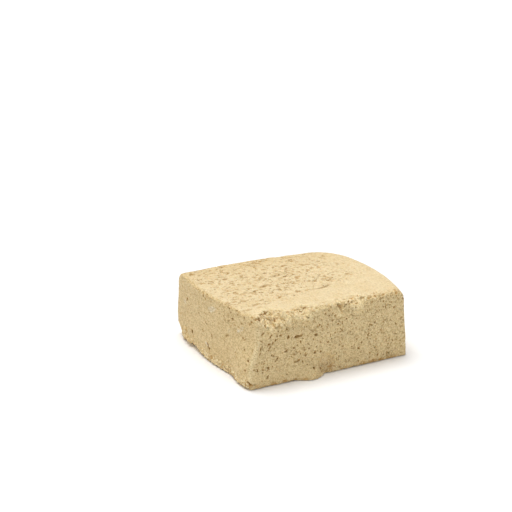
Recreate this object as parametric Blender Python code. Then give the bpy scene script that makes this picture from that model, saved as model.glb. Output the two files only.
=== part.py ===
"""A piece of sesame halva: a block moulded in a round-cornered tub, then cut on two sides.

Metres, +Z up. The block lies on its foot at z = 0, with the origin at the middle of its footprint.
The smooth knife cut faces -X and the porous broken cut faces -Y. The two moulded walls face +X and
+Y and lean out towards the foot. The left corner is between -X and +Y, the near corner between -X
and -Y, the right corner between +X and -Y, and the back corner between +X and +Y.
"""

import itertools

import bmesh
import bpy
import numpy as np

MM = 0.001

# Driving sizes of the whole block
LENGTH = 91.8 * MM
WIDTH = 81.6 * MM
HEIGHT = 33.0 * MM

# The moulded walls: both bow out in plan, lean out towards the foot and roll over into the top,
# with a roll that tightens from the left end to the right
WALL_LEAN = 0.07
RIGHT_BOW_RADIUS = 105 * MM
RIGHT_BOW_Y = 2.1 * MM
BACK_BOW_RADIUS = 256 * MM
BACK_BOW_X = -20 * MM
BACK_CORNER_RADIUS = 14 * MM
LEFT_TOP_ROLL_RADIUS = 6 * MM
RIGHT_TOP_ROLL_RADIUS = 4 * MM

# The knife cut on the -X side, bowed in plan, with a swelling low down at the near corner
KNIFE_BOW_RADIUS = 200 * MM
KNIFE_BOW_Y = 5.6 * MM
KNIFE_EDGE_RADIUS = 0.8 * MM
SWELLING_PROUD = 4.0 * MM
SWELLING_Y = -35.6 * MM
SWELLING_Z = 5 * MM
SWELLING_HALF_LENGTH = 20 * MM
SWELLING_HALF_HEIGHT = 18.5 * MM

# The porous cut on the -Y side, with a lip at its foot, crumbled back a little, that reaches the
# front of the footprint
LIP_PROUD = 3.6 * MM
LIP_X = -14 * MM
LIP_HALF_LENGTH = 9 * MM
LIP_HALF_HEIGHT = 6 * MM
LIP_REACH = 3.2 * MM
POROUS_FACE_Y = -WIDTH / 2 + LIP_REACH
POROUS_EDGE_RADIUS = 1.0 * MM

# Bites out of the porous cut's top edge: middle along X, half length, reach over the top and
# drop down the face
EDGE_BITES = (
    (-32 * MM, 12 * MM, 7.5 * MM, 5.0 * MM),
    (-17 * MM, 10 * MM, 5.5 * MM, 3.6 * MM),
    (1.5 * MM, 2.5 * MM, 4.5 * MM, 6.5 * MM),
    (10.5 * MM, 7 * MM, 5.5 * MM, 4.2 * MM),
)
UNBROKEN_EDGE = 1.3 * MM
CRAGS_START_WITHIN = 3 * MM

# Stretches where the knife cut's foot has crumbled away, most at the left corner: middle along Y,
# half length, reach under the block and rise up the face
FOOT_BITES = (
    (39.5 * MM, 12 * MM, 4.5 * MM, 6.5 * MM),
    (19.5 * MM, 22 * MM, 3.0 * MM, 2.8 * MM),
)
KNIFE_FOOT_CRUMBLE = 0.6 * MM
POROUS_FOOT_CRUMBLE = 0.4 * MM

# Hollows that are large enough to be part of the form: middle, then half sizes along X, Y and Z
CHIPPED_FOOT = ((-5.5 * MM, POROUS_FACE_Y - 0.6 * MM, 5.0 * MM), (4.6 * MM, 3.0 * MM, 5.2 * MM))
CHIPPED_CORNER = ((-41.9 * MM, POROUS_FACE_Y - 0.7 * MM, 29.8 * MM), (2.2 * MM, 2.0 * MM, 3.2 * MM))
KNIFE_EDGE_NOTCH = ((-43.5 * MM, -26.4 * MM, 33.6 * MM), (2.6 * MM, 3.0 * MM, 1.8 * MM))
LARGEST_TOP_PIT = ((-6 * MM, 9.1 * MM, 33.3 * MM), (3.4 * MM, 1.5 * MM, 1.5 * MM))

# The arched crack in the top: an arc of a circle, open for a part of its turn
CRACK_CENTRE = (2.5 * MM, -3.4 * MM)
CRACK_RADIUS = 13 * MM
CRACK_START_DEGREES = -112
CRACK_END_DEGREES = -38
CRACK_HALF_WIDTH = 0.8 * MM
CRACK_DEPTH = 1.1 * MM

# Unevenness of each surface: how high it stands, and how far apart its bumps are
TOP_RELIEF = (0.25 * MM, 11 * MM)
KNIFE_RELIEF = (0.25 * MM, 12 * MM)
POROUS_RELIEF = (0.55 * MM, 7 * MM)
WALL_RELIEF = (0.3 * MM, 12 * MM)
CRAG_RELIEF = (1.0 * MM, 4.4 * MM)
FINER_LAYER = (0.4, 0.45)

# The surface net: cells along each axis, and how far their lines crowd to the near and top edges
CELLS = (52, 44, 16)
CROWDING = (0.15, 0.4, 0.45)
FAN_MARGIN = 14 * MM
PLAN_ROUNDS = 3

# The search for the surface: shares of the way out where it starts and ends, and its steps
SEARCH_FROM = 1.3
SEARCH_TO = 0.1
SEARCH_STEPS = 90
SEARCH_HALVINGS = 14

# Colour of the cut paste in daylight, as 8-bit display values
PASTE_COLOUR = (226, 202, 154)
PASTE_ROUGHNESS = 0.55
SHARP_EDGE_DEGREES = 35
RELIEF_SEED = 7


def scattered_values(seed):
    """A table of random values from -1 to 1 and a shuffled index into it, for lattice_noise."""
    draw = np.random.default_rng(seed)
    return draw.uniform(-1, 1, 256), draw.permutation(256)


NOISE_VALUES, NOISE_ORDER = scattered_values(RELIEF_SEED)


def lattice_noise(x, y, z, size):
    """Smooth random relief from about -1 to 1 whose bumps are about one size apart."""
    place = np.stack(np.broadcast_arrays(x, y, z), axis=-1) / size
    base = np.floor(place).astype(int)
    within = place - base
    within = within * within * (3 - 2 * within)
    total = np.zeros(place.shape[:-1])
    for corner in itertools.product((0, 1), repeat=3):
        index = base + corner
        slot = NOISE_ORDER[index[..., 0] & 255]
        slot = NOISE_ORDER[(slot + index[..., 1]) & 255]
        slot = NOISE_ORDER[(slot + index[..., 2]) & 255]
        share = np.prod(np.where(corner, within, 1 - within), axis=-1)
        total += share * NOISE_VALUES[slot]
    return total


def relief(kind, x, y, z):
    """One of the surface unevennesses above, with a finer layer over the coarse one."""
    amount, size = kind
    finer_amount, finer_size = FINER_LAYER
    coarse = lattice_noise(x, y, z, size)
    return amount * (coarse + finer_amount * lattice_noise(x, y, z, finer_size * size))


def hump(distance, half_width):
    """1 in the middle, falling smoothly to 0 at the half width and beyond."""
    share = np.clip(np.abs(distance) / half_width, 0, 1)
    return (1 - share * share) ** 2


def round_join(first, second, radius):
    """Where two solids given by outward distances overlap, with the edge between them rounded."""
    beyond_first = np.maximum(first + radius, 0)
    beyond_second = np.maximum(second + radius, 0)
    return np.minimum(-radius, np.maximum(first, second)) + np.hypot(beyond_first, beyond_second)


def right_wall_x(y, z):
    return LENGTH / 2 - WALL_LEAN * z - (y - RIGHT_BOW_Y) ** 2 / (2 * RIGHT_BOW_RADIUS)


def back_wall_y(x, z):
    return WIDTH / 2 - WALL_LEAN * z - (x - BACK_BOW_X) ** 2 / (2 * BACK_BOW_RADIUS)


def knife_cut_x(y, z):
    swelling = hump(y - SWELLING_Y, SWELLING_HALF_LENGTH) * hump(z - SWELLING_Z, SWELLING_HALF_HEIGHT)
    return -LENGTH / 2 + (y - KNIFE_BOW_Y) ** 2 / (2 * KNIFE_BOW_RADIUS) - SWELLING_PROUD * swelling


def porous_cut_y(x, z):
    lip = hump(x - LIP_X, LIP_HALF_LENGTH) * hump(z, LIP_HALF_HEIGHT)
    return POROUS_FACE_Y - LIP_PROUD * lip


def moulded_body(x, y, z):
    """Outward distance from the block as it came out of its tub, before it was cut."""
    wall_relief = relief(WALL_RELIEF, x, y, z)
    right = x - right_wall_x(y, z) + wall_relief
    back = y - back_wall_y(x, z) + wall_relief
    top = z - HEIGHT - relief(TOP_RELIEF, x, y, z) + TOP_RELIEF[0]
    roll = LEFT_TOP_ROLL_RADIUS + (RIGHT_TOP_ROLL_RADIUS - LEFT_TOP_ROLL_RADIUS) * (x / LENGTH + 0.5)
    return round_join(round_join(right, back, BACK_CORNER_RADIUS), top, roll)


def bite_sizes(along, bites, least):
    """How far the bites cut across each of the two surfaces beside an edge, at places along it."""
    first = np.full(np.shape(along), least)
    second = first.copy()
    for middle, half_length, bite_first, bite_second in bites:
        share = hump(along - middle, half_length)
        first = np.maximum(first, bite_first * share)
        second = np.maximum(second, bite_second * share)
    return first, second


def slanting_cut(from_first, from_second, sizes):
    """Outward distance from the slanting plane that takes an edge off between two surfaces."""
    first, second = sizes
    slant = 1 - from_first / first - from_second / second
    return slant * first * second / np.hypot(first, second)


def bitten_edge(x, y, z):
    """Outward distance from the slanting, craggy plane that the bites leave along the porous cut."""
    sizes = bite_sizes(x, EDGE_BITES, UNBROKEN_EDGE)
    broken = np.clip((sizes[0] - UNBROKEN_EDGE) / CRAGS_START_WITHIN, 0, 1)
    slant = slanting_cut(y - porous_cut_y(x, z), HEIGHT - z, sizes)
    return slant + broken * relief(CRAG_RELIEF, x, y, z)


def crumbled_feet(x, y, z):
    """Outward distance from the slanting planes that crumbling leaves at the feet of both cuts."""
    knife = slanting_cut(x - knife_cut_x(y, z), z, bite_sizes(y, FOOT_BITES, KNIFE_FOOT_CRUMBLE))
    porous = slanting_cut(y - porous_cut_y(x, z), z, (POROUS_FOOT_CRUMBLE, POROUS_FOOT_CRUMBLE))
    return np.maximum(knife, porous)


def hollow(place, x, y, z):
    """Outward distance from a block with an egg-shaped hollow, positive inside the hollow."""
    (middle_x, middle_y, middle_z), (half_x, half_y, half_z) = place
    share_x = (x - middle_x) / half_x
    share_y = (y - middle_y) / half_y
    share_z = (z - middle_z) / half_z
    return (1 - np.sqrt(share_x**2 + share_y**2 + share_z**2)) * min(half_x, half_y, half_z)


def arched_crack(x, y, z):
    """Outward distance from a block with the crack in its top, positive inside the crack."""
    along_x = x - CRACK_CENTRE[0]
    along_y = y - CRACK_CENTRE[1]
    from_arc = np.abs(np.hypot(along_x, along_y) - CRACK_RADIUS)
    middle = (CRACK_START_DEGREES + CRACK_END_DEGREES) / 2
    turn = np.degrees(np.arctan2(along_y, along_x)) - middle
    opening = hump(turn, (CRACK_END_DEGREES - CRACK_START_DEGREES) / 2)
    depth = (HEIGHT - z) / CRACK_DEPTH
    return (opening - from_arc / CRACK_HALF_WIDTH - depth) * CRACK_HALF_WIDTH


def block_distance(x, y, z):
    """Outward distance from the finished block: under 0 inside it, over 0 outside."""
    knife = knife_cut_x(y, z) - x + relief(KNIFE_RELIEF, x, y, z)
    porous = porous_cut_y(x, z) - y + relief(POROUS_RELIEF, x, y, z)
    block = round_join(moulded_body(x, y, z), knife, KNIFE_EDGE_RADIUS)
    block = round_join(block, porous, POROUS_EDGE_RADIUS)
    block = np.maximum(block, crumbled_feet(x, y, z))
    block = np.maximum(block, bitten_edge(x, y, z))
    for place in (CHIPPED_FOOT, CHIPPED_CORNER, KNIFE_EDGE_NOTCH, LARGEST_TOP_PIT):
        block = np.maximum(block, hollow(place, x, y, z))
    return np.maximum(block, arched_crack(x, y, z))


def plan_point(u, v, z):
    """The point at shares u and v of the way across the footprint, at height z."""
    y = POROUS_FACE_Y + v * (back_wall_y(BACK_BOW_X, z) - POROUS_FACE_Y)
    for _ in range(PLAN_ROUNDS):
        x = knife_cut_x(y, z) + u * (right_wall_x(y, z) - knife_cut_x(y, z))
        y = POROUS_FACE_Y + v * (back_wall_y(x, z) - POROUS_FACE_Y)
    return np.stack([x, y, z], axis=-1)


def rays_through(net):
    """For each point of the net, a start inside the block and the way out, fanned round the edges."""
    u, v, w = net.T
    margins = FAN_MARGIN / np.array([LENGTH, WIDTH, HEIGHT])
    core_u = np.clip(u, margins[0], 1 - margins[0])
    core_v = np.clip(v, margins[1], 1 - margins[1])
    core_w = np.minimum(w, 1 - margins[2])
    start = plan_point(core_u, core_v, core_w * HEIGHT)
    return start, plan_point(u, v, w * HEIGHT) - start


def on_the_surface(net):
    """Moves the net's points out or in along their rays to the outermost surface they meet."""
    start, way = rays_through(net)
    outer = np.full(len(net), SEARCH_FROM)
    inner = outer.copy()
    searching = np.ones(len(net), bool)
    for share in np.linspace(SEARCH_FROM, SEARCH_TO, SEARCH_STEPS):
        inside = block_distance(*(start + share * way).T) < 0
        found = searching & inside
        inner[found] = share
        searching &= ~inside
        outer[searching] = share
    for _ in range(SEARCH_HALVINGS):
        middle = (inner + outer) / 2
        inside = block_distance(*(start + middle[:, None] * way).T) < 0
        inner = np.where(inside, middle, inner)
        outer = np.where(inside, outer, middle)
    return start + inner[:, None] * way


def net_box():
    """A unit cube cut into the surface net's cells, with its underside left as one face."""
    net = bmesh.new()
    bmesh.ops.create_cube(net, size=1)
    for axis, count in enumerate(CELLS):
        along_axis = [e for e in net.edges if abs((e.verts[0].co - e.verts[1].co)[axis]) > 0.5]
        bmesh.ops.subdivide_edges(net, edges=along_axis, cuts=count - 1, use_grid_fill=True)
    underside = [f for f in net.faces if f.normal.z < -0.5]
    bmesh.ops.dissolve_faces(net, faces=underside, use_verts=False)
    return net


def crowded(net_points):
    """The cube's coordinates as shares from 0 to 1, crowded to the cut sides and to the top."""
    share = net_points + 0.5
    near_x, near_y, near_top = CROWDING
    u = share[:, 0] * (1 - near_x + near_x * share[:, 0])
    v = share[:, 1] * (1 - near_y + near_y * share[:, 1])
    w = share[:, 2] * (1 + near_top - near_top * share[:, 2])
    return np.stack([u, v, w], axis=-1)


def paste_material():
    """Pale sesame paste: matt, with a faint oily gloss."""
    material = bpy.data.materials.new("halva_paste")
    material.use_nodes = True
    shader = material.node_tree.nodes["Principled BSDF"]
    linear = [(value / 255) ** 2.2 for value in PASTE_COLOUR]
    shader.inputs["Base Color"].default_value = (*linear, 1)
    shader.inputs["Roughness"].default_value = PASTE_ROUGHNESS
    shader.inputs["Metallic"].default_value = 0
    return material


def make_block():
    net = net_box()
    points = on_the_surface(crowded(np.array([v.co for v in net.verts])))
    low = points.min(axis=0)
    size = points.max(axis=0) - low
    points = (points - low) / size * (LENGTH, WIDTH, HEIGHT) - (LENGTH / 2, WIDTH / 2, 0)
    for vert, point in zip(net.verts, points):
        vert.co = point
    bmesh.ops.recalc_face_normals(net, faces=net.faces)
    mesh = bpy.data.meshes.new("halva_block")
    net.to_mesh(mesh)
    net.free()
    mesh.shade_smooth()
    mesh.set_sharp_from_angle(angle=np.radians(SHARP_EDGE_DEGREES))
    mesh.materials.append(paste_material())
    block = bpy.data.objects.new("halva_block", mesh)
    bpy.context.scene.collection.objects.link(block)
    return block


def main():
    for obj in list(bpy.data.objects):
        bpy.data.objects.remove(obj)
    make_block()


main()
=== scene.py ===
"""The looks of a piece of sesame halva, built round its packed block.

The block is worked out again on a fine grid from the same sizes, with the pores, slits, crags and
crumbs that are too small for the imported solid. Metres, +Z up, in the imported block's own frame. The
smooth knife cut faces -X, the porous broken cut faces -Y, and two moulded walls face +X and +Y.
"""

import itertools
import math

import bmesh
import bpy
import numpy as np
from mathutils import Matrix, Vector


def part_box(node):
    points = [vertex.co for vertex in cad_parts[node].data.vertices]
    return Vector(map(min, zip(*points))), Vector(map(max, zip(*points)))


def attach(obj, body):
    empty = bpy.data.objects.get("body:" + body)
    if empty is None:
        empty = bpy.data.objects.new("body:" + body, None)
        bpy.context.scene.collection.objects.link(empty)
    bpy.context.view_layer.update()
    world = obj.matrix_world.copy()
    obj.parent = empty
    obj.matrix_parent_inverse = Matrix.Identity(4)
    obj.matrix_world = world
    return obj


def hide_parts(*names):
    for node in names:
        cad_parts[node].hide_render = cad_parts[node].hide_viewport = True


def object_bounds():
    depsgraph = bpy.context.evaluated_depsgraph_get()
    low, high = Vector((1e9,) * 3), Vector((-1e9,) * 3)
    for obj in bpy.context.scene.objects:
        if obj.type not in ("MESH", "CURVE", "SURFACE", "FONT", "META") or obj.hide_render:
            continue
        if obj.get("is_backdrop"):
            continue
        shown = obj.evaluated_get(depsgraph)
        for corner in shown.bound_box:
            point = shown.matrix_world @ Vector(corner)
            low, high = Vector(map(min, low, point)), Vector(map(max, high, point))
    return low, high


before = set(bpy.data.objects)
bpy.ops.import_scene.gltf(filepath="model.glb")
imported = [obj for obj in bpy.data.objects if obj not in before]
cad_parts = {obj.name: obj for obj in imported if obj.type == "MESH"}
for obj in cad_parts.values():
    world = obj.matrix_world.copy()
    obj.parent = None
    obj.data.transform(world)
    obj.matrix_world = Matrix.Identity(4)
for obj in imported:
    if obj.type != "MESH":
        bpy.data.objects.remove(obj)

PACKED_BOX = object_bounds()
BLOCK_LOW, BLOCK_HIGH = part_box("halva_block")
LENGTH, WIDTH, HEIGHT = BLOCK_HIGH - BLOCK_LOW

MM = 0.001

# The fine grid that the block is worked out on, and how many triangles its surface may keep
VOXEL = 0.29 * MM
GRID_MARGIN = 1.8 * MM
MOST_TRIANGLES = 190_000

# The moulded walls: both bow out in plan, lean out towards the foot and roll over into the top,
# with a roll that tightens from the left end to the right
WALL_LEAN = 0.07
RIGHT_BOW_RADIUS = 105 * MM
RIGHT_BOW_Y = 2.1 * MM
BACK_BOW_RADIUS = 256 * MM
BACK_BOW_X = -20 * MM
BACK_CORNER_RADIUS = 14 * MM
LEFT_TOP_ROLL_RADIUS = 6 * MM
RIGHT_TOP_ROLL_RADIUS = 4 * MM

# The knife cut on the -X side, bowed in plan, with a swelling low down at the near corner
KNIFE_BOW_RADIUS = 200 * MM
KNIFE_BOW_Y = 5.6 * MM
KNIFE_EDGE_RADIUS = 0.8 * MM
SWELLING_PROUD = 4.0 * MM
SWELLING_Y = -35.6 * MM
SWELLING_Z = 5 * MM
SWELLING_HALF_LENGTH = 20 * MM
SWELLING_HALF_HEIGHT = 18.5 * MM

# The porous cut on the -Y side, with a lip at its foot, crumbled back a little, that reaches the
# front of the footprint
LIP_PROUD = 3.6 * MM
LIP_X = -14 * MM
LIP_HALF_LENGTH = 9 * MM
LIP_HALF_HEIGHT = 6 * MM
LIP_REACH = 3.2 * MM
POROUS_FACE_Y = -WIDTH / 2 + LIP_REACH
POROUS_EDGE_RADIUS = 1.0 * MM

# Bites out of the porous cut's top edge: middle along X, half length, reach over the top and
# drop down the face. Loose crumbs fill them back up to here from a bed that lies a little deeper.
EDGE_BITES = (
    (-32 * MM, 12 * MM, 7.5 * MM, 5.0 * MM),
    (-17 * MM, 10 * MM, 5.5 * MM, 3.6 * MM),
    (1.5 * MM, 2.5 * MM, 4.5 * MM, 6.5 * MM),
    (10.5 * MM, 7 * MM, 5.5 * MM, 4.2 * MM),
)
UNBROKEN_EDGE = 1.3 * MM
CRAGS_START_WITHIN = 3 * MM
CRUMB_BED_DEPTH = 1.0 * MM

# Stretches where the knife cut's foot has crumbled away, most at the left corner: middle along Y,
# half length, reach under the block and rise up the face
FOOT_BITES = (
    (39.5 * MM, 12 * MM, 4.5 * MM, 6.5 * MM),
    (19.5 * MM, 22 * MM, 3.0 * MM, 2.8 * MM),
)
KNIFE_FOOT_CRUMBLE = 0.6 * MM
POROUS_FOOT_CRUMBLE = 0.4 * MM

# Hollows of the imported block: middle, then half sizes along X, Y and Z
CHIPPED_FOOT = ((-5.5 * MM, POROUS_FACE_Y - 0.6 * MM, 5.0 * MM), (4.6 * MM, 3.0 * MM, 5.2 * MM))
CHIPPED_CORNER = ((-41.9 * MM, POROUS_FACE_Y - 0.7 * MM, 29.8 * MM), (2.2 * MM, 2.0 * MM, 3.2 * MM))
KNIFE_EDGE_NOTCH = ((-43.5 * MM, -26.4 * MM, 33.6 * MM), (2.6 * MM, 3.0 * MM, 1.8 * MM))
LARGEST_TOP_PIT = ((-6 * MM, 9.1 * MM, 33.3 * MM), (3.4 * MM, 1.5 * MM, 1.5 * MM))

# The arched crack in the top: an arc of a circle, open for a part of its turn
CRACK_CENTRE = (2.5 * MM, -3.4 * MM)
CRACK_RADIUS = 13 * MM
CRACK_START_DEGREES = -112
CRACK_END_DEGREES = -38
CRACK_HALF_WIDTH = 0.8 * MM
CRACK_DEPTH = 1.1 * MM

# Unevenness of each surface: how high it stands, and how far apart its bumps are
TOP_RELIEF = (0.25 * MM, 11 * MM)
KNIFE_RELIEF = (0.25 * MM, 12 * MM)
POROUS_RELIEF = (0.55 * MM, 7 * MM)
WALL_RELIEF = (0.3 * MM, 12 * MM)
CRAG_RELIEF = (1.0 * MM, 4.4 * MM)

# The finer unevenness that only this script makes
FINE_TOP_RELIEF = (0.09 * MM, 2.4 * MM)
FINE_KNIFE_RELIEF = (0.06 * MM, 2.4 * MM)
FINE_POROUS_RELIEF = (0.12 * MM, 1.5 * MM)

# Every unevenness has a finer layer: its height and size as shares of the coarse layer's
FINER_HEIGHT = 0.4
FINER_SIZE = 0.45

# Torn pits with steep, ragged sides: how deep they are, how far apart, how much longer they are
# along X, Y and Z, and the levels of the random relief between which their sides fall
TORN_TOP = (0.45 * MM, 1.3 * MM, (1.6, 0.85, 1), (0.63, 0.8))
TORN_POROUS = (0.45 * MM, 0.8 * MM, (1.2, 1, 1.3), (0.76, 1.05))
TORN_EDGE_REACH = 6.5 * MM
TORN_FADE = (0.8 * MM, 2.5 * MM)
KNIFE_TORN_FADE = (0.6 * MM, 1.5 * MM)

# The torn pits' random relief: heights and sizes of its finer layer and of the broad one that
# crowds the pits together, and how far a small share of pits lowers it
TORN_FINER_HEIGHT = 0.45
TORN_FINER_SIZE = 0.4
TORN_CROWDING_HEIGHT = 0.35
TORN_CROWDING_SIZE = 6
TORN_THINNING = 0.6

# The steep, ragged rim where the smooth top breaks off into a bite: its height and unevenness
RIM_STEP = 1.7 * MM
RIM_RELIEF = (0.7 * MM, 2.0 * MM)
CREVICE_HALF_WIDTH = 0.5 * MM
CREVICE_DEPTH = 1.7 * MM
CREVICE_SPACING = 5 * MM
CREVICE_LEVELS = (-0.1, 0.4)
CREVICE_STARTS_WITHIN = CRAGS_START_WITHIN / 2
CORNER_CREVICE_X = -39 * MM
CORNER_CREVICE_HALF_LENGTH = 8 * MM
CORNER_CREVICE_OPEN_FROM = 0.3

# Where pores are rare on the top: ever rarer along this stretch up to the right end, and in front
# of a line that starts by the near edge at the left end and slants back from it to the right.
# Behind the line they grow common over a fixed distance.
TOP_RAREST_X = 44 * MM
TOP_RARE_LENGTH = 30 * MM
TOP_LEAST_ON_RIGHT = 0.15
RARE_LINE_START = (-45 * MM, -33 * MM)
RARE_LINE_SLANT = 0.25
COMMON_AGAIN_WITHIN = 9 * MM
TOP_LEAST_IN_FRONT = 0.1

# The share of pores on the top's unbroken near edge, and how far they creep back from the cut
EDGE_PORE_SHARE = 0.9
EDGE_PORE_REACH = 5.5 * MM

# The share of pores on the knife cut: everywhere, in bands under its top edge and at its foot given
# by height and share, and in patches given by middle and half size along Y, middle and half size
# along Z, and share. The band under the top edge ends between two places along Y.
KNIFE_SHARE = 0.16
KNIFE_TOP_BAND = (7 * MM, 0.75)
KNIFE_TOP_BAND_END_Y = 15 * MM
KNIFE_TOP_BAND_FADE = 10 * MM
KNIFE_FOOT_BAND = (9 * MM, 0.55)
KNIFE_PATCHES = (
    (-18 * MM, 9 * MM, 27 * MM, 6 * MM, 0.8),
    (-36 * MM, 12 * MM, 11 * MM, 9 * MM, 0.6),
)

# The smeared foot of the porous cut, where few pores show: it ends between two places along X
SMEAR_Z = 2 * MM
SMEAR_HALF_HEIGHT = 9 * MM
SMEAR_END_X = -8 * MM
SMEAR_FADE = 8 * MM
SMEAR_STRENGTH = 0.9

WALL_PORE_SHARE = 0.8

# Every pore is an egg whose middle stands over the surface by this share of the pore's depth, so
# that its sides open outwards. Scattered pores vary in size.
PORE_RAISED = 0.25
PORE_SIZE_SPREAD = 0.3

# A long pore is made of overlapping holes: the slenderness and the half length from which it gets
# one hole more, and the holes' spacing, scatter, turn, sizes and length as shares of the pore's
SLENDER_FROM = 1.6
LONG_FROM = 1.4 * MM
PART_SPACING = 0.7
PART_SCATTER = 0.22
PART_TURN = 0.2
PART_SIZES = (0.7, 1.1)
PART_LENGTH = 0.62

# The largest pores that show on each face, in millimetres and degrees: the place in the face, half
# length, half width and depth, and how far the length leans from the face's first direction
TOP_PORES = (
    (-8.3, 14.8, 1.5, 1.1, 1.0, 10),
    (5.0, 19.4, 1.4, 1.1, 1.0, 0),
    (4.0, 15.4, 1.0, 1.0, 0.8, 0),
    (-19.4, 13.6, 1.6, 1.1, 0.9, 10),
    (-28.8, 16.4, 1.8, 1.2, 0.9, 15),
    (-33.9, -3.4, 1.6, 1.0, 0.9, 0),
    (-26.9, -6.5, 2.0, 1.0, 0.9, 0),
    (-38.1, -10.0, 1.4, 1.0, 0.8, 10),
    (-32.2, -21.0, 1.8, 0.9, 0.8, 5),
    (-17.0, -0.5, 2.4, 0.9, 0.9, 20),
    (20.9, -6.3, 1.0, 0.8, 0.8, 0),
    (30.0, 10.5, 1.3, 0.9, 0.8, 30),
)

# The largest gaps between the lumps along the rim of the bites, given as the top's pores are
RIM_PORES = (
    (-38.6, -34.6, 1.9, 0.8, 1.5, 45),
    (-35.7, -32.0, 1.7, 0.8, 1.5, 38),
    (-33.2, -30.6, 1.2, 0.7, 1.2, 15),
    (-30.6, -33.6, 1.1, 0.6, 1.4, 75),
    (-17.0, -33.6, 1.2, 0.7, 1.4, 10),
    (-14.6, -32.8, 1.2, 0.7, 1.2, 20),
    (1.4, -35.6, 1.4, 0.8, 1.4, 90),
)

KNIFE_PORES = (
    (18.7, 8.4, 1.3, 1.2, 2.2, 0),
    (1.2, 7.2, 1.7, 0.8, 1.8, 48),
    (-2.6, 13.7, 1.4, 0.5, 1.1, 80),
    (-15.4, 18.4, 1.6, 0.5, 0.6, -30),
    (-34.6, 13.0, 0.6, 0.6, 1.2, 0),
    (-36.9, 2.8, 1.5, 0.7, 1.6, 55),
)

# Small round holes of one size in the knife cut: half length, half width, depth and lean, and
# their places along Y and Z
HOLE = (0.55, 0.5, 1.2, 20)
HOLE_PLACES = (
    (23.6, 20.0),
    (10.6, 20.6),
    (8.9, 32.0),
    (5.4, 30.7),
    (-9.1, 21.8),
    (-13.5, 32.7),
    (-14.0, 25.3),
    (-16.9, 25.8),
    (-17.2, 31.9),
    (-18.5, 30.4),
    (-19.6, 27.7),
    (-28.1, 30.6),
    (-30.3, 16.7),
    (2.4, 18.0),
)

POROUS_PORES = (
    (-20.5, 21.1, 1.7, 0.75, 1.1, 0),
    (-11.2, 19.9, 1.0, 0.6, 1.1, 0),
    (-13.7, 27.1, 0.9, 0.8, 0.7, 0),
    (-21.2, 9.2, 1.5, 0.6, 1.0, 5),
    (-27.1, 15.1, 0.9, 0.5, 0.9, 0),
    (-22.3, 12.7, 0.8, 0.5, 0.8, 0),
    (-12.6, 4.4, 0.6, 0.6, 1.5, 0),
    (0.4, 22.9, 0.6, 0.6, 1.1, 0),
    (-39.2, 22.2, 1.0, 0.5, 1.0, -45),
    (-37.2, 28.9, 0.9, 0.5, 1.0, 90),
    (-9.4, 4.1, 1.4, 0.5, 1.0, 80),
    (9.1, 9.2, 0.5, 0.5, 1.0, 0),
    (-9.0, 11.6, 0.7, 0.45, 1.0, 20),
    (-15.0, 14.3, 0.7, 0.5, 1.0, 30),
    (-26.2, 4.0, 0.5, 0.45, 1.0, 0),
)

# Slits of one size that lean alike on the porous cut: half length, half width, depth and lean, and
# their places along X and Z
SLIT = (1.15, 0.34, 1.0, 62)
SLIT_PLACES = (
    (-38.8, 25.7),
    (-34.4, 23.6),
    (-33.5, 20.1),
    (-34.8, 18.4),
    (-39.5, 18.9),
    (-40.2, 16.4),
    (-31.0, 12.7),
    (-36.1, 4.7),
    (-16.4, 11.2),
)

# Lumps and loose crumbs along the bitten edge: how many places are tried, between which places
# along X, between which half sizes, and how far they are sunk in or stand out of the bed as a
# share of the half size. They are spread down the bed and a little beyond it. A bite of the full
# reach keeps them all, and a few loose crumbs are kept even where no bite is.
BAND_LUMPS = (340, (-41 * MM, 20 * MM), (0.9 * MM, 2.1 * MM), (0.1, 0.8))
BAND_CRUMBS = (300, (-40 * MM, 22 * MM), (0.35 * MM, 0.95 * MM), (0.1, 0.9))
BAND_SPREAD = (-0.1, 1.1)
BAND_FULL_REACH = 4.5 * MM
STRAY_CRUMBS = 0.1

# How far lumps and crumbs may stand over the top, and the share of a crumb's half size that does
CRUMBS_OVER_TOP = 0.35 * MM
CRUMB_TOP_SHARE = 0.8

# Lumps and loose crumbs at the knife cut's foot: how many, between which places along Y, and how
# far they are sunk into it. They share one spread up the face and one range of half sizes.
FOOT_LUMPS = (420, (-35.5 * MM, 38 * MM), (0.2, 0.8))
FOOT_CRUMBS = (
    (90, (-36 * MM, -26 * MM), (-0.2, 0.5)),
    (60, (-8 * MM, 4 * MM), (-0.2, 0.5)),
    (190, (24 * MM, 38 * MM), (-0.2, 0.5)),
    (140, (-26 * MM, 26 * MM), (-0.2, 0.5)),
)
FOOT_CRUMB_SPREAD = 1.6 * MM
FOOT_CRUMB_SIZES = (0.3 * MM, 0.9 * MM)

# Stretches of that foot with larger lumps, all sunk alike
LARGER_LUMPS = (
    (60, (27 * MM, 39 * MM)),
    (18, (-36 * MM, -30 * MM)),
    (12, (-6 * MM, 2 * MM)),
)
LARGER_LUMP_SPREAD = 3 * MM
LARGER_LUMP_SIZES = (0.7 * MM, 1.5 * MM)
LARGER_LUMP_SUNK = 0.65

# Nibbles out of the feet of both cuts: how many, between which places along the foot, between
# which half sizes, how far their middles stand out, and up to which height
KNIFE_NIBBLES = (200, (-40 * MM, 36 * MM), (0.3 * MM, 0.9 * MM), 0.2 * MM, 1.5 * MM)
POROUS_NIBBLES = (160, (-42 * MM, 42 * MM), (0.3 * MM, 0.8 * MM), 0.3 * MM, 1.0 * MM)
NIBBLE_STRETCH = (0.7, 1.3)

# Loose crumbs in the chipped foot of the porous cut: how many, their middle and spread along X,
# their spread up the face and their half sizes
CHIP_CRUMBS = (60, (-4 * MM, 3.5 * MM), 2.2 * MM, (0.22 * MM, 0.6 * MM))

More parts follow.
